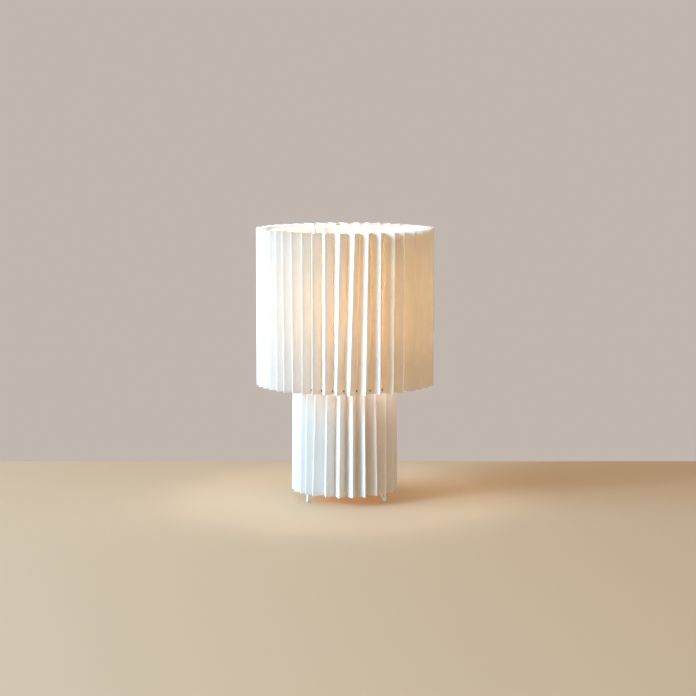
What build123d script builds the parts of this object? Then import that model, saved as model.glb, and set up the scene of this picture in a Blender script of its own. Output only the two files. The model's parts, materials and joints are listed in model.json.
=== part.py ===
from build123d import *
from math import acos, asin, atan2, cos, degrees, hypot, radians, sin
import os

os.makedirs("parts", exist_ok=True)

# Pleated paper table lamp: a pleated paper drum shade that lifts off a pleated paper
# drum base, on a wire frame with hairpin feet, and a screw lampholder with its bulb.
# Millimetres. The origin is on the lamp's axis at the table, +Z is up and the front is -Y.
# Angles are taken round the axis from the front towards +X.

# ---------------------------------------------------------------- driving dimensions
full_turn = 360  # degrees

# Paper
paper = 0.4  # thickness of the pleated sheet
shade_radius = 100.0  # out to the outer folds
shade_pleat_depth = 13.0
shade_pleat_count = 42
shade_height = 176.2
base_radius = 60.0
base_pleat_depth = 13.0
base_side_pleat_count = 8  # from the back leg to the first uneven fold on each side
base_height = 122.6
base_lift = 10.9  # paper's lower edge above the table
ring_inset = 4.0  # from a paper edge to the ring that holds it
fold_bite = 0.3  # how far a ring's centre line lies outside the inner folds
slot_play = 0.15  # round a ring in the slots of the paper
lap_margin = 1.2  # the glued lap stops this short of the folds beside it

# Outer folds in view, in degrees: a hand-pleated sheet never spreads quite evenly
shade_front_folds = [-78.1, -69.0, -61.1, -53.6, -47.1, -39.7, -32.1, -25.1, -16.7, -7.6]
shade_front_folds += [1.6, 10.5, 20.1, 29.2, 38.0, 46.8, 55.4, 64.5, 74.9]
base_front_folds = [-61.2, -51.0, -39.6, -24.4, -10.6, 3.6, 17.8, 31.9, 46.3, 61.5]

# Wire frames
shade_wire = 2.0
frame_wire = 2.4
weld = 0.2  # how far welded wires sink into each other
leg_angles = (-60.0, 60.0, 180.0)
foot_bend = 1.3  # centre line radius of the hairpin at the table
foot_flat = 0.15  # depth of the flat under each foot
foot_spread = 1.3  # the hairpin's tip stands this far outside its outer strand
foot_knee = 10.5  # height at which the inner strand turns out to the tip
knee_bend = 3.0
strand_rise = 1.5  # the outer strand stands this far above its ring
arm_bend = 2.0
arm_gap = 0.5  # the shade's arms over the base's paper

# Base plate and the seat of the shade
plate_thickness = 1.0
plate_recess = 2.0  # top face below the paper's upper edge
plate_gap = 0.3  # plate's edge to the inner folds
seat_inset = 4.3  # plate's edge to the centre line of the ring that the shade stands on
seat_gap = 0.3
seat_play = 1.0  # seat ring to the bead that centres it
bead_width = 2.4
bead_height = 1.2
jog_run = 3.2  # length over which an arm climbs off the seat ring

# Screw lampholder
holder_thread_radius = 19.8
holder_bore_gap = 0.2
holder_wall = 2.0
skirt_rise = 28.0  # above the plate's top face
shoulder_radius = 22.5
shoulder_height = 4.0
cap_straight = 16.0  # straight part of the lower shell
cap_taper = 9.0  # its tapering part
neck_radius = 8.6
neck_height = 9.0
clamp_flange_radius = 28.5
clamp_flange_height = 3.0
clamp_hub_radius = 23.0
clamp_height = 12.0
clamp_ribs = 16
clamp_rib_radius = 1.1
clamp_gap = 0.1  # clamp ring's bore round the skirt
insert_gap = 0.2
insert_height = 18.0
collar_height = 9.5
sleeve_wall = 0.5
sleeve_gap = 0.1
sleeve_start = 1.5  # sleeve's lower edge above the insert's top face
sleeve_length = 22.0
contact_width = 6.0
contact_strip = 0.6
contact_rise = 2.2
contact_gap = 0.3  # under the bulb's tip
terminal_spacing = 20.0
terminal_screw_radius = 1.5
terminal_head_radius = 2.8
terminal_head_height = 2.0
terminal_screw_length = 8.0
screw_slot = 0.8
inlet_radius = 5.0
inlet_bore_radius = 3.6
inlet_grip = 12.0  # length inside the neck and the shell
inlet_nut_radius = 7.5
inlet_nut_height = 6.0
set_screw_radius = 1.5

# Bulb
thread_gap = 0.3  # bulb's cap to the sleeve, both drawn plain
bulb_cap_radius = 13.25
bulb_cap_wall = 0.5
bulb_cap_length = 20.0
bulb_cone_height = 4.5
bulb_tip_radius = 4.8
bulb_tip_height = 2.0
bulb_seat_gap = 0.5  # housing above the lampholder's rim
bulb_housing_height = 32.0
bulb_neck_radius = 14.3
bulb_joint_radius = 24.0
bulb_radius = 30.0
bulb_wall = 1.2
board_radius = 20.0
board_thickness = 1.6
led_count = 10
led_circle_radius = 13.0
led_size = 3.5
led_height = 0.8

# ---------------------------------------------------------------- derived heights and radii
base_top = base_lift + base_height
shade_inner = shade_radius - shade_pleat_depth
base_inner = base_radius - base_pleat_depth
shade_ring_radius = shade_inner + fold_bite
frame_ring_radius = base_inner + fold_bite
frame_top_ring_z = base_top - ring_inset
frame_bottom_ring_z = base_lift + ring_inset
inner_strand = frame_ring_radius - frame_wire + weld
outer_strand = frame_ring_radius + frame_wire - weld
plate_top = base_top - plate_recess
plate_under = plate_top - plate_thickness
seat_z = plate_top + seat_gap + shade_wire / 2
arm_z = base_top + arm_gap + shade_wire / 2
shade_bottom = arm_z - ring_inset
shade_top = shade_bottom + shade_height
rim_z = plate_top + skirt_rise
shoulder_z = plate_under - shoulder_height
shell_z = shoulder_z - cap_straight
neck_z = shell_z - cap_taper
inlet_z = neck_z - neck_height
skirt_bore = holder_thread_radius - holder_wall
insert_radius = skirt_bore - insert_gap
bulb_z = rim_z + bulb_seat_gap
bulb_tip_z = bulb_z - bulb_seat_gap - bulb_cap_length - bulb_cone_height - bulb_tip_height
insert_top = bulb_tip_z - contact_gap - contact_rise
sleeve_bore = bulb_cap_radius + thread_gap
sleeve_radius = sleeve_bore + sleeve_wall
collar_bore = sleeve_radius + sleeve_gap
joint_z = bulb_z + bulb_housing_height
dome_z = joint_z + (bulb_radius**2 - bulb_joint_radius**2) ** 0.5  # centre of the round diffuser
bulb_top = dome_z + bulb_radius


def polar(radius, angle):
    """A point of a horizontal plane, from the front towards +X."""
    return (radius * sin(radians(angle)), -radius * cos(radians(angle)))


def radial_plane(angle):
    """The upright plane through the axis: its x runs outwards and its y upwards."""
    x, y = polar(1, angle)
    return Plane(origin=(0, 0, 0), x_dir=(x, y, 0), z_dir=(y, -x, 0))


def save(piece, name):
    piece.part.label = name
    export_step(piece.part, f"parts/{name}.step")


# ---------------------------------------------------------------- pleated paper
def fold_reach(half_pitch, fold_radius, next_radius):
    """Radial distance from the sheet's middle to its surface at a fold."""
    across = next_radius * sin(radians(half_pitch))
    along = abs(fold_radius - next_radius * cos(radians(half_pitch)))
    return paper / 2 / sin(atan2(across, along))


def pleat_widths(folds):
    return [after - here for here, after in zip(folds, folds[1:] + [folds[0] + full_turn])]


def surface_corners(folds, outer, inner, side):
    """Corners of the sleeve's outside (side 1) or inside (side -1)."""
    corners = []
    for here, width in zip(folds, pleat_widths(folds)):
        half = width / 2
        corners.append(polar(outer + side * fold_reach(half, outer, inner), here))
        corners.append(polar(inner + side * fold_reach(half, inner, outer), here + half))
    return corners


def lap_corners(start, end):
    """The strip that is glued to the inside of one face where the sheet's ends meet."""
    face = Vector(end) - Vector(start)
    along = face.normalized()
    inwards = along.rotate(Axis.Z, 90)
    if inwards.dot(Vector(start)) > 0:
        inwards = inwards * -1
    low = Vector(start) + along * lap_margin - inwards * paper / 2
    high = Vector(end) - along * lap_margin - inwards * paper / 2
    step = inwards * paper * 1.5
    return [low, high, high + step, low + step]


def slot_corners(folds, reach):
    """A disc with one straight side across each inner fold, at least this far from the axis."""
    corner_reach = reach / cos(radians(max(pleat_widths(folds)) / 2))
    return [polar(corner_reach, here) for here in folds]


def pleated_sleeve(folds, outer, inner, bottom, height, slot_reach, wire):
    inside = surface_corners(folds, outer, inner, -1)
    back = 2 * min(range(len(folds)), key=lambda i: abs(folds[i] - full_turn / 2))
    with BuildPart() as sleeve:
        with BuildSketch(Plane.XY.offset(bottom)):
            with BuildLine():
                Polyline(*surface_corners(folds, outer, inner, 1), close=True)
            make_face()
            with BuildLine():
                Polyline(*inside, close=True)
            make_face(mode=Mode.SUBTRACT)
            with BuildLine():
                Polyline(*lap_corners(inside[back], inside[back + 1]), close=True)
            make_face()
        extrude(amount=height)
        slot = wire + 2 * slot_play
        for level in (bottom + ring_inset, bottom + height - ring_inset):
            with BuildSketch(Plane.XY.offset(level - slot / 2)):
                with BuildLine():
                    Polyline(*slot_corners(folds, slot_reach), close=True)
                make_face()
            extrude(amount=slot, mode=Mode.SUBTRACT)
    return sleeve


def spread(start, end, count):
    return [start + (end - start) * i / count for i in range(count)]


shade_hidden_count = shade_pleat_count - len(shade_front_folds) + 1
shade_folds = shade_front_folds[:-1] + spread(
    shade_front_folds[-1], shade_front_folds[0] + full_turn, shade_hidden_count
)
base_folds = (
    base_front_folds[:-1]
    + spread(base_front_folds[-1], leg_angles[2], base_side_pleat_count)
    + spread(leg_angles[2], base_front_folds[0] + full_turn, base_side_pleat_count)
)
sharpest_half = min(pleat_widths(base_folds)) / 2
plate_radius = base_inner - fold_reach(sharpest_half, base_inner, base_radius) - plate_gap
seat_radius = plate_radius - seat_inset
shade_slot = shade_ring_radius + shade_wire / 2 + slot_play
base_slot = frame_ring_radius + frame_wire / 2 + slot_play

save(
    pleated_sleeve(
        shade_folds, shade_radius, shade_inner, shade_bottom, shade_height, shade_slot, shade_wire
    ),
    "shade_pleats",
)
save(
    pleated_sleeve(base_folds, base_radius, base_inner, base_lift, base_height, base_slot, frame_wire),
    "base_pleats",
)


# ---------------------------------------------------------------- wire rings
def wire_ring(radius, level, wire):
    with BuildPart() as ring:
        with BuildSketch(Plane.XZ):
            with Locations((radius, level)):
                Circle(wire / 2)
        revolve(axis=Axis.Z)
    return ring


save(wire_ring(shade_ring_radius, shade_top - ring_inset, shade_wire), "shade_top_ring")
save(wire_ring(shade_ring_radius, arm_z, shade_wire), "shade_bottom_ring")
save(wire_ring(seat_radius, seat_z, shade_wire), "shade_seat_ring")
save(wire_ring(frame_ring_radius, frame_top_ring_z, frame_wire), "base_top_ring")
save(wire_ring(frame_ring_radius, frame_bottom_ring_z, frame_wire), "base_bottom_ring")

# ---------------------------------------------------------------- shade arms
arm_start = seat_radius + shade_wire / 2 - weld
arm_end = shade_ring_radius - shade_wire / 2 + weld


def shade_arm(angle):
    """From the seat ring up over the base's paper and out to the shade's lower ring."""
    with BuildPart() as arm:
        with BuildLine(radial_plane(angle)) as route:
            FilletPolyline(
                (arm_start, seat_z),
                (arm_start + jog_run, arm_z),
                (arm_end, arm_z),
                radius=arm_bend,
            )
        with BuildSketch(Plane(origin=route.line @ 0, z_dir=route.line % 0)):
            Circle(shade_wire / 2)
        sweep()
    return arm


# ---------------------------------------------------------------- legs
foot_z = frame_wire / 2 - foot_flat + foot_bend
foot_x = outer_strand + foot_spread - foot_bend
lean_top = frame_bottom_ring_z - frame_wire / 2
strand_top = frame_bottom_ring_z + frame_wire / 2 + strand_rise


def touch_angle(x, z, side):
    """Where a straight run from this point meets the hairpin's bend, seen from its centre."""
    reach = hypot(x - foot_x, z - foot_z)
    return degrees(atan2(z - foot_z, x - foot_x)) + side * degrees(acos(foot_bend / reach))


inner_touch = touch_angle(inner_strand, foot_knee, 1)
outer_touch = touch_angle(outer_strand, lean_top, -1) + full_turn


def bend_point(angle):
    return (foot_x + foot_bend * cos(radians(angle)), foot_z + foot_bend * sin(radians(angle)))


def leg(angle):
    """One wire: an upright inside the rings, bent at the table into a hairpin foot."""
    with BuildPart() as wire:
        with BuildLine(radial_plane(angle)) as route:
            FilletPolyline(
                (inner_strand, plate_under),
                (inner_strand, foot_knee),
                bend_point(inner_touch),
                radius=knee_bend,
            )
            CenterArc((foot_x, foot_z), foot_bend, inner_touch, outer_touch - inner_touch)
            FilletPolyline(
                bend_point(outer_touch),
                (outer_strand, lean_top),
                (outer_strand, strand_top),
                radius=knee_bend,
            )
        with BuildSketch(Plane(origin=route.line @ 0, z_dir=route.line % 0)):
            Circle(frame_wire / 2)
        sweep()
        with BuildSketch(Plane.XY):
            Circle(base_radius)
        extrude(amount=-frame_wire, mode=Mode.SUBTRACT)
    return wire


for side, leg_angle in zip(("left", "right", "back"), leg_angles):
    save(shade_arm(leg_angle), f"shade_arm_{side}")
    save(leg(leg_angle), f"leg_{side}")

# ---------------------------------------------------------------- base plate
bead_outer = seat_radius - shade_wire / 2 - seat_play
bead_middle = bead_outer - bead_width / 2
bead_inner = bead_outer - bead_width
plate_hole = holder_thread_radius + holder_bore_gap
bead_slope = bead_width / 4

with BuildPart() as base_plate:
    with BuildSketch(Plane.XZ):
        with BuildLine():
            Polyline(
                (plate_hole, plate_under),
                (bead_inner, plate_under),
                (bead_inner + bead_slope, plate_under + bead_height),
                (bead_outer - bead_slope, plate_under + bead_height),
                (bead_outer, plate_under),
                (plate_radius, plate_under),
                (plate_radius, plate_top),
                (bead_outer, plate_top),
                (bead_outer - bead_slope, plate_top + bead_height),
                (bead_inner + bead_slope, plate_top + bead_height),
                (bead_inner, plate_top),
                (plate_hole, plate_top),
                close=True,
            )
        make_face()
    revolve(axis=Axis.Z)
save(base_plate, "base_plate")


# ---------------------------------------------------------------- lampholder
def turned(*corners):
    """A piece turned about the axis from half of its section."""
    with BuildPart() as piece:
        with BuildSketch(Plane.XZ):
            with BuildLine():
                Polyline(*corners, close=True)
            make_face()
        revolve(axis=Axis.Z)
    return piece


holder_skirt = turned(
    (skirt_bore, shoulder_z),
    (shoulder_radius, shoulder_z),
    (shoulder_radius, plate_under),
    (holder_thread_radius, plate_under),
    (holder_thread_radius, rim_z),
    (skirt_bore, rim_z),
)
save(holder_skirt, "holder_skirt")

holder_cap = turned(
    (shoulder_radius - holder_wall, shoulder_z),
    (shoulder_radius - holder_wall, shell_z),
    (neck_radius - holder_wall, neck_z + holder_wall),
    (inlet_radius, neck_z + holder_wall),
    (inlet_radius, inlet_z),
    (neck_radius, inlet_z),
    (neck_radius, neck_z),
    (shoulder_radius, shell_z),
    (shoulder_radius, shoulder_z),
)
with BuildPart() as holder_shell:
    add(holder_cap.part)
    with BuildSketch(Plane.YZ):
        with Locations((0, inlet_z + neck_height / 2)):
            Circle(set_screw_radius)
    extrude(amount=2 * neck_radius, mode=Mode.SUBTRACT)
save(holder_shell, "holder_cap")

with BuildPart() as clamp_ring:
    with BuildSketch(Plane.XY.offset(plate_top)):
        Circle(clamp_flange_radius)
        Circle(holder_thread_radius + clamp_gap, mode=Mode.SUBTRACT)
    extrude(amount=clamp_flange_height)
    with BuildSketch(Plane.XY.offset(plate_top + clamp_flange_height)):
        Circle(clamp_hub_radius)
        with PolarLocations(clamp_hub_radius, clamp_ribs):
            Circle(clamp_rib_radius)
        Circle(holder_thread_radius + clamp_gap, mode=Mode.SUBTRACT)
    extrude(amount=clamp_height - clamp_flange_height)
save(clamp_ring, "holder_clamp_ring")

insert_bottom = insert_top - insert_height
terminal_points = [(-terminal_spacing / 2, 0), (terminal_spacing / 2, 0)]
with BuildPart() as holder_insert:
    with BuildSketch(Plane.XY.offset(insert_bottom)):
        Circle(insert_radius)
        with Locations(*terminal_points):
            Circle(terminal_screw_radius, mode=Mode.SUBTRACT)
    extrude(amount=insert_height)
    with BuildSketch(Plane.XY.offset(insert_top)):
        Circle(insert_radius)
        Circle(collar_bore, mode=Mode.SUBTRACT)
    extrude(amount=collar_height)
save(holder_insert, "holder_insert")

with BuildPart() as terminal_screws:
    with BuildSketch(Plane.XY.offset(insert_bottom)):
        with Locations(*terminal_points):
            Circle(terminal_screw_radius)
    extrude(amount=terminal_screw_length)
    with BuildSketch(Plane.XY.offset(insert_bottom)):
        with Locations(*terminal_points):
            Circle(terminal_head_radius)
    extrude(amount=-terminal_head_height)
    with BuildSketch(Plane.XY.offset(insert_bottom - terminal_head_height)):
        with Locations(*terminal_points):
            Rectangle(screw_slot, 2 * terminal_head_radius)
    extrude(amount=terminal_head_height / 2, mode=Mode.SUBTRACT)
save(terminal_screws, "terminal_screws")

holder_sleeve = turned(
    (sleeve_bore, insert_top + sleeve_start),
    (sleeve_radius, insert_top + sleeve_start),
    (sleeve_radius, insert_top + sleeve_start + sleeve_length),
    (sleeve_bore, insert_top + sleeve_start + sleeve_length),
)
save(holder_sleeve, "holder_sleeve")

contact_length = collar_bore - contact_strip
with BuildPart() as centre_contact:
    with BuildSketch(Plane.XZ.offset(-contact_width / 2)):
        with BuildLine():
            Polyline(
                (-contact_length, insert_top),
                (-contact_length / 3, insert_top),
                (contact_length / 4, insert_top + contact_rise - contact_strip),
                (contact_length / 2, insert_top + contact_rise / 2 - contact_strip / 2),
                (contact_length / 2, insert_top + contact_rise / 2 + contact_strip / 2),
                (contact_length / 4, insert_top + contact_rise),
                (-contact_length / 3 - contact_strip / 2, insert_top + contact_strip),
                (-contact_length, insert_top + contact_strip),
                close=True,
            )
        make_face()
    extrude(amount=contact_width)
save(centre_contact, "centre_contact")

with BuildPart() as cord_inlet:
    with BuildSketch(Plane.XY.offset(inlet_z)):
        Circle(inlet_radius)
        Circle(inlet_bore_radius, mode=Mode.SUBTRACT)
    extrude(amount=inlet_grip)
    with BuildSketch(Plane.XY.offset(inlet_z)):
        RegularPolygon(inlet_nut_radius, 6)
        Circle(inlet_bore_radius, mode=Mode.SUBTRACT)
    extrude(amount=-inlet_nut_height)
save(cord_inlet, "cord_inlet")

with BuildPart() as inlet_set_screw:
    with BuildSketch(Plane.YZ.offset(inlet_radius)):
        with Locations((0, inlet_z + neck_height / 2)):
            Circle(set_screw_radius)
    extrude(amount=neck_radius - inlet_radius)
    with BuildSketch(Plane.YZ.offset(neck_radius)):
        with Locations((0, inlet_z + neck_height / 2)):
            Rectangle(screw_slot / 2, 2 * set_screw_radius)
    extrude(amount=-screw_slot, mode=Mode.SUBTRACT)
save(inlet_set_screw, "inlet_set_screw")

# ---------------------------------------------------------------- bulb
cap_low = bulb_z - bulb_seat_gap - bulb_cap_length
cone_low = cap_low - bulb_cone_height
cap_bore = bulb_cap_radius - bulb_cap_wall

bulb_cap = turned(
    (cap_bore, cap_low),
    (bulb_cap_radius, cap_low),
    (bulb_cap_radius, bulb_z),
    (cap_bore, bulb_z),
)
save(bulb_cap, "bulb_cap")

bulb_insulator = turned(
    (0, cone_low),
    (bulb_tip_radius, cone_low),
    (cap_bore, cap_low),
    (cap_bore, cap_low + bulb_wall),
    (0, cap_low + bulb_wall),
)
save(bulb_insulator, "bulb_insulator")

with BuildPart() as bulb_contact:
    with BuildSketch(Plane.XY.offset(bulb_tip_z)):
        Circle(bulb_tip_radius)
    extrude(amount=bulb_tip_height)
    chamfer(bulb_contact.faces().sort_by(Axis.Z)[0].edges(), bulb_tip_height / 2)
save(bulb_contact, "bulb_contact")

board_z = joint_z - board_thickness
with BuildPart() as bulb_housing:
    with BuildSketch(Plane.XZ):
        with BuildLine():
            Polyline(
                (0, board_z),
                (0, cap_low + bulb_wall),
                (cap_bore, cap_low + bulb_wall),
                (cap_bore, bulb_z),
                (bulb_neck_radius, bulb_z),
            )
            Spline(
                (bulb_neck_radius, bulb_z),
                (bulb_joint_radius, joint_z),
                tangents=((0.1, 1), (0.35, 1)),
            )
            Polyline(
                (bulb_joint_radius, joint_z),
                (board_radius, joint_z),
                (board_radius, board_z),
                (0, board_z),
            )
        make_face()
    revolve(axis=Axis.Z)
save(bulb_housing, "bulb_housing")

with BuildPart() as led_board:
    with BuildSketch(Plane.XY.offset(board_z)):
        Circle(board_radius)
    extrude(amount=board_thickness)
save(led_board, "led_board")

with BuildPart() as leds:
    with BuildSketch(Plane.XY.offset(joint_z)):
        with PolarLocations(led_circle_radius, led_count):
            Rectangle(led_size, led_size)
    extrude(amount=led_height)
save(leds, "leds")


def dome_line(radius):
    """Half outline of the diffuser, from the housing's rim up to the axis."""
    low = degrees(asin((joint_z - dome_z) / radius))
    CenterArc((0, dome_z), radius, low, full_turn / 4 - low)


dome_bore = bulb_radius - bulb_wall
dome_foot = (dome_bore**2 - (joint_z - dome_z) ** 2) ** 0.5
with BuildPart() as bulb_envelope:
    with BuildSketch(Plane.XZ):
        with BuildLine():
            dome_line(bulb_radius)
            Line((0, bulb_top), (0, bulb_top - bulb_wall))
            dome_line(dome_bore)
            Line((dome_foot, joint_z), (bulb_joint_radius, joint_z))
        make_face()
    revolve(axis=Axis.Z)
save(bulb_envelope, "bulb_envelope")
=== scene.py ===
import json
from math import acos, atan2, cos, pi, radians, sin, tan
from random import Random

import bmesh
import bpy
from mathutils import Matrix, Vector


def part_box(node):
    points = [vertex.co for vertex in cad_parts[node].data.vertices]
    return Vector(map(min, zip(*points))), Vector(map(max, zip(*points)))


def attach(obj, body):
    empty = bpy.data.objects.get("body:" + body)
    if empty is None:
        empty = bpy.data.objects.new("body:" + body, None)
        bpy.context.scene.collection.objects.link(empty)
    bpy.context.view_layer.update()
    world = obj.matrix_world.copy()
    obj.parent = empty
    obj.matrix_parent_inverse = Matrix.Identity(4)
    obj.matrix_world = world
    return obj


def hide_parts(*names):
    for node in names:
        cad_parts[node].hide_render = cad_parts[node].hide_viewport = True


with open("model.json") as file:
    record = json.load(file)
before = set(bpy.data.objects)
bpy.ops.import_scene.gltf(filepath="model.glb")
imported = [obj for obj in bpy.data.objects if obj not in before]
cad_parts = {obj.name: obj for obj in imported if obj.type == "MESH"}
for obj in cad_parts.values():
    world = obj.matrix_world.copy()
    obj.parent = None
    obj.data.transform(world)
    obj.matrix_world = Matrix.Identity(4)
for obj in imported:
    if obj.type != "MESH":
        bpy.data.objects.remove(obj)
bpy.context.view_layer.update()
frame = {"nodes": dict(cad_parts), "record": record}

# The pleated paper lamp's looks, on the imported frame. Metres, +Z up, the front is -Y, and
# angles round the lamp's axis run from the front towards +X, in degrees.
MM = 0.001

shade_reach = 100 * MM  # from the axis to the outer folds
base_reach = 60 * MM
pleat_depth = 13 * MM  # from the outer folds to the inner ones


# ---------------------------------------------------------------- camera
camera_angle = -4.2  # where the photo is taken from, round the lamp's axis
camera_distance = 2.306
camera_height = 0.455
camera_pitch = 7.01  # degrees down
camera_yaw = 0.086  # degrees to the right, so the lamp stands left of the middle
camera_sensor = 36  # millimetres, as the lens
camera_lens = 106.7

scene = bpy.context.scene
camera = bpy.data.objects.new("camera", bpy.data.cameras.new("camera"))
scene.collection.objects.link(camera)
scene.camera = camera
camera.data.sensor_width = camera_sensor
camera.data.lens = camera_lens
camera.location = (
    camera_distance * sin(radians(camera_angle)),
    -camera_distance * cos(radians(camera_angle)),
    camera_height,
)
camera.rotation_euler = (radians(90 - camera_pitch), 0, radians(camera_angle - camera_yaw))


# ---------------------------------------------------------------- helpers
def polar(radius, angle):
    """X and Y of a point at an angle round the lamp's axis."""
    return radius * sin(radians(angle)), -radius * cos(radians(angle))


def ring_level(node):
    """Height of the middle of a ring."""
    low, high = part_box(node)
    return (low.z + high.z) / 2


def spread(first, last, count):
    """Even places from the first on, with the last left out."""
    return [first + (last - first) * i / count for i in range(count)]


def piece_from(name, mesh_data, body, material):
    """A new object from a bmesh, riding on a body of the frame."""
    mesh = bpy.data.meshes.new(name)
    mesh_data.to_mesh(mesh)
    mesh_data.free()
    piece = bpy.data.objects.new(name, mesh)
    scene.collection.objects.link(piece)
    mesh.materials.append(material)
    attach(piece, body)
    return piece


def apply_modifiers(piece):
    """Gives the piece the mesh that its modifiers make."""
    depsgraph = bpy.context.evaluated_depsgraph_get()
    mesh = bpy.data.meshes.new_from_object(piece.evaluated_get(depsgraph))
    piece.modifiers.clear()
    old = piece.data
    piece.data = mesh
    bpy.data.meshes.remove(old)


def smooth(piece, sharp_angle):
    """Smooth shading, apart from edges that turn by more than an angle."""
    for polygon in piece.data.polygons:
        polygon.use_smooth = True
    piece.data.set_sharp_from_angle(angle=radians(sharp_angle))


class Graph:
    """A material's nodes, added by kind, with values for their inputs."""

    def __init__(self, name):
        self.material = bpy.data.materials.new(name)
        self.material.use_nodes = True
        self.tree = self.material.node_tree
        self.tree.nodes.clear()
        self.output = self.tree.nodes.new("ShaderNodeOutputMaterial")
        self.place = self.add("TexCoord").outputs["Object"]

    def add(self, kind, settings=(), **inputs):
        """A node. An input's name is written with _ for each space."""
        node = self.tree.nodes.new("ShaderNode" + kind)
        for key, value in dict(settings).items():
            setattr(node, key, value)
        for key, value in inputs.items():
            self.feed(node.inputs[key.replace("_", " ")], value)
        return node

    def feed(self, socket, value):
        """Links another node's output to an input, or sets its value."""
        if isinstance(value, bpy.types.NodeSocket):
            self.tree.links.new(value, socket)
        else:
            socket.default_value = value

    def noise(self, scale, detail=3.0, stretch=None, roughness=0.5):
        place = self.place
        if stretch:
            place = self.add("Mapping", Vector=place, Scale=stretch).outputs["Vector"]
        node = self.add("TexNoise", Vector=place, Scale=scale, Detail=detail, Roughness=roughness)
        return node.outputs["Fac"]

    def height(self):
        """Height above the table."""
        return self.add("SeparateXYZ", Vector=self.place).outputs["Z"]

    def reach(self):
        """Distance from the lamp's axis."""
        flat = self.add("Mapping", Vector=self.place, Scale=(1, 1, 0)).outputs["Vector"]
        return self.add("VectorMath", {"operation": "LENGTH"}, Vector=flat).outputs["Value"]

    def ramp(self, value, low, high, to_low=0.0, to_high=1.0):
        """The range from low to high, stretched to another range and held at its ends."""
        node = self.add("MapRange", Value=value)
        for key, number in zip((1, 2, 3, 4), (low, high, to_low, to_high)):
            node.inputs[key].default_value = number
        return node.outputs["Result"]

    def multiply(self, first, second):
        node = self.add("Math", {"operation": "MULTIPLY"})
        self.feed(node.inputs[0], first)
        self.feed(node.inputs[1], second)
        return node.outputs[0]

    def blend(self, factor, first, second):
        """Two colours, mixed by a factor."""
        node = self.add("Mix", {"data_type": "RGBA"})
        self.feed(node.inputs[0], factor)
        self.feed(node.inputs[6], (*first, 1))
        self.feed(node.inputs[7], (*second, 1))
        return node.outputs[2]

    def bump(self, height, distance, strength=1.0, normal=None):
        node = self.add("Bump", Height=height, Distance=distance, Strength=strength)
        if normal:
            self.feed(node.inputs["Normal"], normal)
        return node.outputs["Normal"]

    def mixed(self, factor, first, second):
        """Two shaders, mixed by a factor."""
        node = self.add("MixShader", Fac=factor)
        self.feed(node.inputs[1], first.outputs[0])
        self.feed(node.inputs[2], second.outputs[0])
        return node

    def surface(self, shader):
        """The finished material, with this shader on its surface."""
        self.feed(self.output.inputs["Surface"], shader.outputs[0])
        return self.material


# ---------------------------------------------------------------- materials
# Painted light: the paper passes more light at its inner folds and less at its outer ones, in place
# of the bulb's light falling off towards the outer folds.
inner_fold_share = 1.15  # times the share of light that the paper passes, at its inner folds
outer_fold_share = 0.7  # and at its outer ones


def paper_material(name, share_low, share_high, reach):
    """Thick matt white paper that lets some light through. It passes less towards the outer folds,
    as painted shade for the bulb's light falling off there.
    """
    g = Graph(name)
    pulp = g.noise(90, 5, roughness=0.6)
    fibre = g.noise(2600, 3, stretch=(1, 1, 0.35), roughness=0.6)
    colour = g.blend(g.ramp(pulp, 0.35, 0.65), (0.90, 0.885, 0.86), (0.925, 0.915, 0.895))
    passed = g.blend(g.ramp(pulp, 0.3, 0.7), (0.85, 0.68, 0.47), (0.89, 0.73, 0.52))
    relief = g.bump(g.noise(420, 4), 0.06 * MM, 0.35)
    relief = g.bump(fibre, 0.03 * MM, 0.5, relief)
    front = g.add(
        "BsdfPrincipled", Base_Color=colour, Roughness=0.86, Specular_IOR_Level=0.25, Normal=relief
    )
    through = g.add("BsdfTranslucent", Color=passed, Normal=relief)
    share = g.ramp(g.noise(240, 5, roughness=0.65), 0.3, 0.7, share_low, share_high)
    # Painted light, not thinner paper: the share of light passed rises towards the inner folds.
    painted_fold_light = g.ramp(g.reach(), reach - pleat_depth, reach, inner_fold_share, outer_fold_share)
    return g.surface(g.mixed(g.multiply(share, painted_fold_light), front, through))


def coated_steel(name, colour, roughness):
    """Powder coat: a pale skin with a fine orange peel and a few rubbed spots."""
    g = Graph(name)
    tone = g.blend(g.ramp(g.noise(160, 4), 0.4, 0.75), colour, [c * 0.94 for c in colour])
    rough = g.ramp(g.noise(600, 3), 0.3, 0.7, roughness - 0.05, roughness + 0.08)
    peel = g.bump(g.noise(1400, 2), 0.04 * MM, 0.4)
    return g.surface(g.add("BsdfPrincipled", Base_Color=tone, Roughness=rough, Normal=peel))


def moulded(name, colour, roughness):
    """Moulded plastic with a faint spark-eroded texture and uneven gloss."""
    g = Graph(name)
    tone = g.blend(g.ramp(g.noise(60, 3), 0.35, 0.7), colour, [c * 0.96 for c in colour])
    rough = g.ramp(g.noise(300, 4), 0.3, 0.7, roughness - 0.04, roughness + 0.06)
    grain = g.bump(g.noise(900, 3), 0.03 * MM, 0.35)
    return g.surface(g.add("BsdfPrincipled", Base_Color=tone, Roughness=rough, Normal=grain))


def glazed_ceramic():
    """Glossy glaze over fine dark specks."""
    g = Graph("glazed_ceramic")
    speck = g.ramp(g.noise(1800, 2), 0.68, 0.74)
    tone = g.blend(speck, (0.80, 0.77, 0.71), (0.62, 0.57, 0.50))
    waves = g.bump(g.noise(140, 3), 0.1 * MM, 0.3)
    return g.surface(g.add("BsdfPrincipled", Base_Color=tone, Roughness=0.22, Normal=waves))


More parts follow.
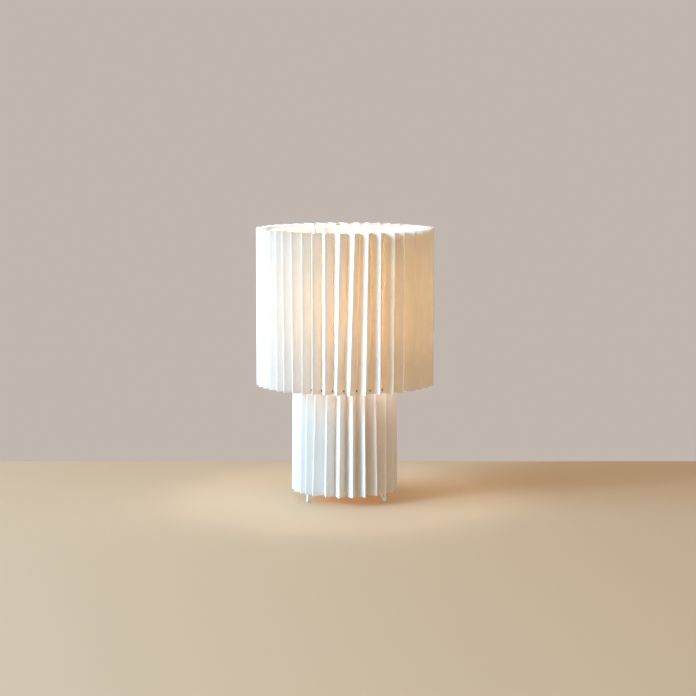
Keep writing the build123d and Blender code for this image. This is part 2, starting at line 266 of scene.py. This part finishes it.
def metal(name, colour, roughness, brushed=(1, 1, 12)):
    """Worked metal with fine marks, dulled in patches."""
    g = Graph(name)
    marks = g.noise(700, 4, stretch=brushed)
    tone = g.blend(g.ramp(g.noise(180, 4), 0.35, 0.75), colour, [c * 0.82 for c in colour])
    rough = g.ramp(marks, 0.3, 0.7, roughness - 0.06, roughness + 0.10)
    relief = g.bump(marks, 0.03 * MM, 0.4)
    return g.surface(
        g.add("BsdfPrincipled", Base_Color=tone, Roughness=rough, Metallic=1.0, Normal=relief)
    )


bulb_glow = (33.0, 32.0, 31.0)  # radiance of the diffuser
neck_glow = 0.2  # share of it at the diffuser's lower edge
neck_height = 14 * MM  # above that edge, where the glow is full


def lit_diffuser():
    """Frosted diffuser of the bulb, alight, dimmer towards its neck."""
    g = Graph("lit_diffuser")
    full = max(bulb_glow)
    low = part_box("bulb_envelope")[0].z
    tone = g.blend(g.ramp(g.noise(70, 3), 0.35, 0.7), (0.93, 0.91, 0.87), (0.90, 0.87, 0.82))
    frost = g.bump(g.noise(1500, 3), 0.02 * MM, 0.4)
    strength = g.ramp(g.height(), low, low + neck_height, neck_glow * full, full)
    skin = g.add(
        "BsdfPrincipled", Base_Color=tone, Roughness=0.45, Normal=frost,
        Emission_Color=(*[c / full for c in bulb_glow], 1), Emission_Strength=strength,
    )
    return g.surface(skin)


shade_paper = paper_material("shade_paper", 0.325, 0.375, shade_reach)
base_paper = paper_material("base_paper", 0.20, 0.25, base_reach)
slot_materials = {
    "white_wire": coated_steel("white_powder_coat", (0.88, 0.87, 0.85), 0.38),
    "white_plate": coated_steel("white_plate_coat", (0.86, 0.85, 0.83), 0.42),
    "holder_plastic": moulded("holder_plastic", (0.85, 0.84, 0.81), 0.34),
    "holder_insert": glazed_ceramic(),
    "nickel_shell": metal("nickel_shell", (0.74, 0.72, 0.68), 0.26),
    "brass": metal("brass", (0.80, 0.62, 0.32), 0.30, (1, 1, 1)),
    "screw_steel": metal("zinc_steel", (0.68, 0.69, 0.70), 0.32, (1, 1, 1)),
    "bulb_diffuser": lit_diffuser(),
    "bulb_plastic": moulded("bulb_plastic", (0.83, 0.83, 0.81), 0.40),
    "cap_insulator": moulded("cap_insulator", (0.035, 0.033, 0.032), 0.30),
    "board_aluminium": metal("board_aluminium", (0.82, 0.82, 0.80), 0.36, (12, 1, 1)),
    "led_yellow": moulded("led_phosphor", (0.86, 0.66, 0.12), 0.42),
}
# The bottom ring's dark colour is painted shade, which shows in the paper's slots as dark spots.
node_materials = {"shade_bottom_ring": metal("painted_shade_wire", (0.17, 0.13, 0.095), 0.5)}
for part in frame["record"]["subparts"]:
    if part["material_slot"] in slot_materials:
        node = frame["nodes"][part["node"]]
        node.data.materials.clear()
        slot_material = slot_materials[part["material_slot"]]
        node.data.materials.append(node_materials.get(part["node"], slot_material))


# ---------------------------------------------------------------- pleated paper
paper_thickness = 0.35 * MM
edge_gap = 0.3 * MM  # from the CAD solid's edges to the paper's
crest_radius = 0.45 * MM  # of the folds
crest_steps = 5
slot_run = 1.65 * MM  # length of a ring's slot along a face, from the inner fold
face_stops = (0.3, 0.55, 0.78)  # shares of a face's width at which it bends
row_step = 7 * MM
push_turn = 3  # radians of a fold's wave between the lower edge and the upper one
ripple_turn = 9  # and of a face's ripple
lap_start = 2.0 * MM  # from the folds to the strip that closes the sheet
lap_steps = 5
lap_offset = 1.05 * paper_thickness  # from the face to the strip
fold_sharpness = 38  # degrees


def rounded_corner(before, corner, after):
    """Points of the arc that rounds a fold, from the side before it to the side after it."""
    to_before = (before - corner).normalized()
    to_after = (after - corner).normalized()
    half = acos(max(-1.0, min(1.0, to_before.dot(to_after)))) / 2
    centre = corner + (to_before + to_after).normalized() * (crest_radius / sin(half))
    start = corner + to_before * (crest_radius / tan(half)) - centre
    end = corner + to_after * (crest_radius / tan(half)) - centre
    turn = atan2(start.x * end.y - start.y * end.x, start.dot(end))
    arc = [Matrix.Rotation(turn * step / crest_steps, 2) @ start for step in range(crest_steps + 1)]
    return [centre + point for point in arc]


class Sleeve:
    """A pleated sheet round the axis: where each fold stands and how each face bows.

    Folds are the angles of the outer folds. Leans are the degrees by which the first of them
    lean from the lower edge to the upper one, and the others lean by chance. Play says how far
    leans, folds, faces and edges stray, and how much wider the sheet is at its lower edge."""

    def __init__(self, node, rings, half_slot, reach, folds, leans, seed, **play):
        draw = Random(seed)
        low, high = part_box(node)
        self.low, self.high = low.z + edge_gap, high.z - edge_gap
        self.play = play
        self.lines = []  # for each fold: angle, radius, lean, push and phase
        self.faces = []  # for each face: bow, ripple and phase
        self.edges = []  # for each fold: how far the lower and upper edges stray
        leans = leans + [draw.gauss(0, play["lean"]) for fold in folds[len(leans):]]
        for i, here in enumerate(folds):
            after = folds[i + 1] if i + 1 < len(folds) else folds[0] + 360
            next_lean = leans[(i + 1) % len(leans)]
            self.add_fold(draw, here, reach, leans[i])
            self.add_fold(draw, (here + after) / 2, reach - pleat_depth, (leans[i] + next_lean) / 2)
        self.levels = self.heights([ring_level(ring) for ring in rings], half_slot)

    def add_fold(self, draw, angle, radius, lean):
        """One fold and the face that follows it, each with small faults of its own."""
        push = draw.gauss(0, self.play["push"])
        self.lines.append((angle, radius, lean, push, draw.uniform(0, 2 * pi)))
        bow, ripple = draw.gauss(0, self.play["bow"]), draw.gauss(0, self.play["ripple"])
        self.faces.append((bow, ripple, draw.uniform(0, 2 * pi)))
        self.edges.append((draw.gauss(0, self.play["edge"]), draw.gauss(0, self.play["edge"])))

    def heights(self, ring_levels, half_slot):
        """Rows of the mesh: the edges, both sides of each slot, and steps between."""
        lower, upper = [(z - half_slot, z + half_slot) for z in ring_levels]
        steps = round((upper[0] - lower[1]) / row_step)
        between = [lower[1] + (upper[0] - lower[1]) * i / steps for i in range(steps + 1)]
        return [self.low, lower[0], *between, upper[1], self.high]

    def rise(self, z):
        """A height as a share of the sheet's own."""
        return (z - self.low) / (self.high - self.low)

    def corner(self, index, rise):
        """Where a fold stands at a share of the height."""
        angle, radius, lean, push, phase = self.lines[index % len(self.lines)]
        flare = 1 + self.play["flare"] * (0.5 - rise)
        reach = radius * flare + push * sin(phase + push_turn * rise)
        return Vector(polar(reach, angle + lean * (rise - 0.5)))

    def face_shape(self, index, share, rise):
        """How far a face stands off the flat at a share of its width."""
        bow, ripple, phase = self.faces[index % len(self.faces)]
        return 4 * share * (1 - share) * (bow + ripple * sin(phase + ripple_turn * rise))

    def section(self, rise):
        """The sheet's middle line at a share of the height, and which of its spans a slot cuts."""
        count = len(self.lines)
        corners = [self.corner(i, rise) for i in range(count)]
        points, cut = [], []
        for i, here in enumerate(corners):
            before, after = corners[i - 1], corners[(i + 1) % count]
            inner = i % 2 == 1
            points += rounded_corner(before, here, after)
            cut += [inner] * crest_steps
            along = (after - here).normalized()
            across = Vector((-along.y, along.x))
            width = (after - here).length
            stops = [slot_run, *(share * width for share in face_stops)]
            if not inner:
                stops = [width - stop for stop in reversed(stops)]
            cut += [inner] + [False] * (len(stops) - 1) + [not inner]
            for stop in stops:
                points.append(here + along * stop + across * self.face_shape(i, stop / width, rise))
        return points, cut

    def edge_shift(self, column, columns, level):
        """How far the cut edge strays at a column of the lower or upper row."""
        if level not in (0, len(self.levels) - 1):
            return 0.0
        place = column / columns * len(self.lines)
        first = int(place)
        share = place - first
        side = 0 if level == 0 else 1
        here, after = (self.edges[k % len(self.edges)][side] for k in (first, first + 1))
        return here * (1 - share) + after * share

    def mesh(self):
        """The whole sheet as a bmesh, without thickness."""
        sheet = bmesh.new()
        grid, cut = [], []
        for level, z in enumerate(self.levels):
            points, cut = self.section(self.rise(z))
            row = []
            for column, point in enumerate(points):
                shift = self.edge_shift(column, len(points), level)
                row.append(sheet.verts.new((*point, z + shift)))
            grid.append(row)
        slot_rows = (1, len(self.levels) - 3)
        for level, (row, above) in enumerate(zip(grid, grid[1:])):
            for column, in_slot in enumerate(cut):
                if in_slot and level in slot_rows:
                    continue
                after = (column + 1) % len(row)
                sheet.faces.new((row[column], row[after], above[after], above[column]))
        self.add_lap(sheet)
        return sheet

    def add_lap(self, sheet):
        """The strip glued inside one face at the back, where the sheet's ends meet."""
        index = min(range(0, len(self.lines), 2), key=lambda i: abs(self.lines[i][0] - 180))
        grid = []
        for z in self.levels[1:-1]:
            rise = self.rise(z)
            start, end = self.corner(index, rise), self.corner(index + 1, rise)
            width = (end - start).length
            along = (end - start).normalized()
            across = Vector((-along.y, along.x))
            inside = -1 if across.dot(start) > 0 else 1
            row = []
            for step in range(lap_steps + 1):
                stop = lap_start + (width - 2 * lap_start) * step / lap_steps
                off = self.face_shape(index, stop / width, rise)
                point = start + along * stop + across * (off + inside * lap_offset)
                row.append(sheet.verts.new((*point, z)))
            grid.append(row)
        for row, above in zip(grid, grid[1:]):
            for step in range(lap_steps):
                sheet.faces.new((row[step], row[step + 1], above[step + 1], above[step]))


def pleated_paper(name, node, sleeve, body, material):
    """A sleeve with the paper's thickness, in place of its CAD solid."""
    piece = piece_from(name, sleeve.mesh(), body, material)
    thicken = piece.modifiers.new("thickness", "SOLIDIFY")
    thicken.thickness = paper_thickness
    thicken.offset = 0
    thicken.use_even_offset = True
    apply_modifiers(piece)
    smooth(piece, fold_sharpness)
    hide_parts(node)


# Outer folds, as uneven as the photo shows them, and even round the back
shade_front_folds = [
    -78.1, -69.0, -61.1, -53.6, -47.1, -39.7, -32.1, -25.1, -16.7, -8.3,
    0.4, 9.8, 18.7, 28.4, 36.5, 45.9, 54.2, 64.0, 74.9,
]
shade_front_leans = [0, 0, -0.6, -1.0, -1.3, -1.0, 0, 0, 0, 1.9, 2.8, 1.7, 0.2, 1.0]
shade_pleat_count = 42
shade_hidden = shade_pleat_count - len(shade_front_folds) + 1
shade_folds = [
    *shade_front_folds[:-1],
    *spread(shade_front_folds[-1], shade_front_folds[0] + 360, shade_hidden),
]
base_front_folds = [-61.2, -51.0, -39.6, -24.4, -9.9, 4.0, 17.8, 31.9, 46.3, 61.5]
base_front_leans = [0, 1.6, 2.9, 1.3, 1.0, 0, -0.5, -1.6, 0.9, 0.9]
base_side_pleats = 8
base_folds = [
    *base_front_folds[:-1],
    *spread(base_front_folds[-1], 180, base_side_pleats),
    *spread(180, base_front_folds[0] + 360, base_side_pleats),
]

shade_sleeve = Sleeve(
    "shade_pleats", ("shade_bottom_ring", "shade_top_ring"), 1.15 * MM,
    shade_reach, shade_folds, shade_front_leans, seed=11, lean=0.35,
    push=0.12 * MM, bow=0.14 * MM, ripple=0.04 * MM, edge=0.12 * MM, flare=0.0,
)
base_sleeve = Sleeve(
    "base_pleats", ("base_bottom_ring", "base_top_ring"), 1.35 * MM,
    base_reach, base_folds, base_front_leans, seed=5, lean=0.9,
    push=0.15 * MM, bow=0.14 * MM, ripple=0.04 * MM, edge=0.15 * MM, flare=0.02,
)
pleated_paper("shade_paper", "shade_pleats", shade_sleeve, "shade", shade_paper)
pleated_paper("base_paper", "base_pleats", base_sleeve, "base", base_paper)


# ---------------------------------------------------------------- screw threads
thread_steps = 72  # round the axis
rows_per_turn = 10
thread_sharpness = 50  # degrees
bulb_pitch = 3.63 * MM
cap_wall = 0.5 * MM
cap_thread_depth = 0.42 * MM
shell_wall = 0.25 * MM
shell_thread_depth = 0.3 * MM
skirt_crest = 19.8 * MM  # radius over the thread
skirt_bore = 17.8 * MM
skirt_pitch = 3.0 * MM
skirt_thread_depth = 0.7 * MM


def threaded(node, body, slot, low, high, walls, pitch, depth, plain=()):
    """A turned shell with a rolled thread, in place of a node.

    Walls are (radius, whether threaded), from outside in, and plain holds the corners
    (radius, height) of what closes the shell below them."""
    rows = round((high - low) / pitch * rows_per_turn)
    levels = [low + (high - low) * i / rows for i in range(rows + 1)]
    outline = []
    for (radius, cut), upward in zip(walls, (True, False)):
        outline += [(radius, z, cut) for z in (levels if upward else reversed(levels))]
    outline += [(radius, z, False) for radius, z in plain]
    shell = bmesh.new()
    grid = []
    for radius, z, cut in outline:
        fade = max(0.0, min(1.0, (z - low) / pitch, (high - z) / pitch))
        row = []
        for step in range(thread_steps):
            turn = step / thread_steps
            groove = 0.5 - 0.5 * cos(2 * pi * (z / pitch - turn))
            sunk = depth * (1 - fade + fade * groove) if cut else 0.0
            row.append(shell.verts.new((*polar(radius - sunk, 360 * turn), z)))
        grid.append(row)
    for row, after in zip(grid, grid[1:] + grid[:1]):
        for step in range(thread_steps):
            beside = (step + 1) % thread_steps
            shell.faces.new((row[step], row[beside], after[beside], after[step]))
    bmesh.ops.recalc_face_normals(shell, faces=shell.faces)
    piece = piece_from(node + "_thread", shell, body, slot_materials[slot])
    smooth(piece, thread_sharpness)
    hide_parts(node)


cap_low, cap_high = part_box("bulb_cap")
threaded(
    "bulb_cap", "bulb", "nickel_shell", cap_low.z, cap_high.z,
    ((cap_high.x, True), (cap_high.x - cap_wall, False)), bulb_pitch, cap_thread_depth,
)
shell_low, shell_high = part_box("holder_sleeve")
threaded(
    "holder_sleeve", "base", "nickel_shell", shell_low.z, shell_high.z,
    ((shell_high.x, True), (shell_high.x - shell_wall, True)), bulb_pitch, shell_thread_depth,
)
skirt_low, skirt_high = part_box("holder_skirt")
plate_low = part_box("base_plate")[0].z  # the skirt's shoulder ends and its thread starts here
threaded(
    "holder_skirt", "base", "holder_plastic", plate_low, skirt_high.z,
    ((skirt_crest, True), (skirt_bore, False)), skirt_pitch, skirt_thread_depth,
    ((skirt_bore, skirt_low.z), (skirt_high.x, skirt_low.z), (skirt_high.x, plate_low)),
)


# ---------------------------------------------------------------- stage
floor_colour = (0.66, 0.47, 0.305)
wall_colour = (0.54, 0.475, 0.43)
stage_edge = 0.235  # behind the lamp's axis, where the table ends
stage_edge_blur = 0.004  # in which it turns into the wall
stage_reach = 6.0
floor_level = -0.02 * MM  # just under the feet
ambient_colour = (1.0, 0.79, 0.55)
ambient_strength = 0.58
lamp_aim = (0, 0, 0.18)  # where the lamps outside the object point


def floor_material():
    """Pale warm table in front. Behind it, the plain wall colour that the world shows too."""
    g = Graph("stage_floor")
    depth = g.add("SeparateXYZ", Vector=g.place).outputs["Y"]
    behind = g.ramp(depth, stage_edge - stage_edge_blur, stage_edge + stage_edge_blur)
    tone = g.blend(behind, floor_colour, wall_colour)
    table = g.add("BsdfPrincipled", Base_Color=tone, Roughness=0.8)
    wall = g.add("Emission", Color=(*wall_colour, 1))
    from_camera = g.add("LightPath").outputs["Is Camera Ray"]
    return g.surface(g.mixed(g.multiply(behind, from_camera), table, wall))


def studio_world():
    """Warm light from all round, and the plain wall colour where the camera sees past the floor."""
    world = bpy.data.worlds.new("studio")
    world.use_nodes = True
    tree = world.node_tree
    tree.nodes.clear()
    ambient = tree.nodes.new("ShaderNodeBackground")
    ambient.inputs["Color"].default_value = (*ambient_colour, 1)
    ambient.inputs["Strength"].default_value = ambient_strength
    wall = tree.nodes.new("ShaderNodeBackground")
    wall.inputs["Color"].default_value = (*wall_colour, 1)
    path = tree.nodes.new("ShaderNodeLightPath")
    choice = tree.nodes.new("ShaderNodeMixShader")
    output = tree.nodes.new("ShaderNodeOutputWorld")
    tree.links.new(path.outputs["Is Camera Ray"], choice.inputs[0])
    tree.links.new(ambient.outputs[0], choice.inputs[1])
    tree.links.new(wall.outputs[0], choice.inputs[2])
    tree.links.new(choice.outputs[0], output.inputs["Surface"])
    return world


def lamp(name, angle, elevation, distance, size, power, colour, aim=lamp_aim):
    """A soft rectangular lamp, at an angle round the axis from the front, that faces its aim."""
    data = bpy.data.lights.new(name, "AREA")
    data.shape = "RECTANGLE"
    data.size, data.size_y = size
    data.energy = power
    data.color = colour
    light = bpy.data.objects.new(name, data)
    scene.collection.objects.link(light)
    out = distance * cos(radians(elevation))
    light.location = Vector(aim) + Vector((*polar(out, angle), distance * sin(radians(elevation))))
    light.rotation_euler = (Vector(aim) - light.location).to_track_quat("-Z", "Y").to_euler()
    return light


def inner_lamp(name, width, height, power, colour):
    """A round lamp on the axis, inside the object, that shines straight down."""
    light = lamp(name, 0, 90, 0.0, (width, width), power, colour, (0, 0, height))
    light.data.shape = "DISK"
    light.rotation_euler = (0, 0, 0)


bpy.ops.mesh.primitive_plane_add(size=2 * stage_reach, location=(0, 0, floor_level))
floor = bpy.context.object
floor.name = "stage_floor"
floor.rotation_euler.z = radians(camera_angle)  # its far edge lies square to the view
floor.data.materials.append(floor_material())

scene.world = studio_world()
lamp("key", -64, 20, 3.0, (0.5, 0.8), 50, (0.40, 0.70, 1.0))
lamp("window", -72, 12, 3.0, (2.8, 2.2), 210, (0.37, 0.69, 1.0))
# The bulb's scattered light, which the photo shows on the base's top and on the table under the base
inner_lamp("shade_spill", 170 * MM, 148 * MM, 0.13, (1.0, 0.94, 0.84))
inner_lamp("base_spill", 70 * MM, plate_low - 2 * MM, 0.11, (1.0, 0.58, 0.31))

scene.view_settings.view_transform = "Standard"
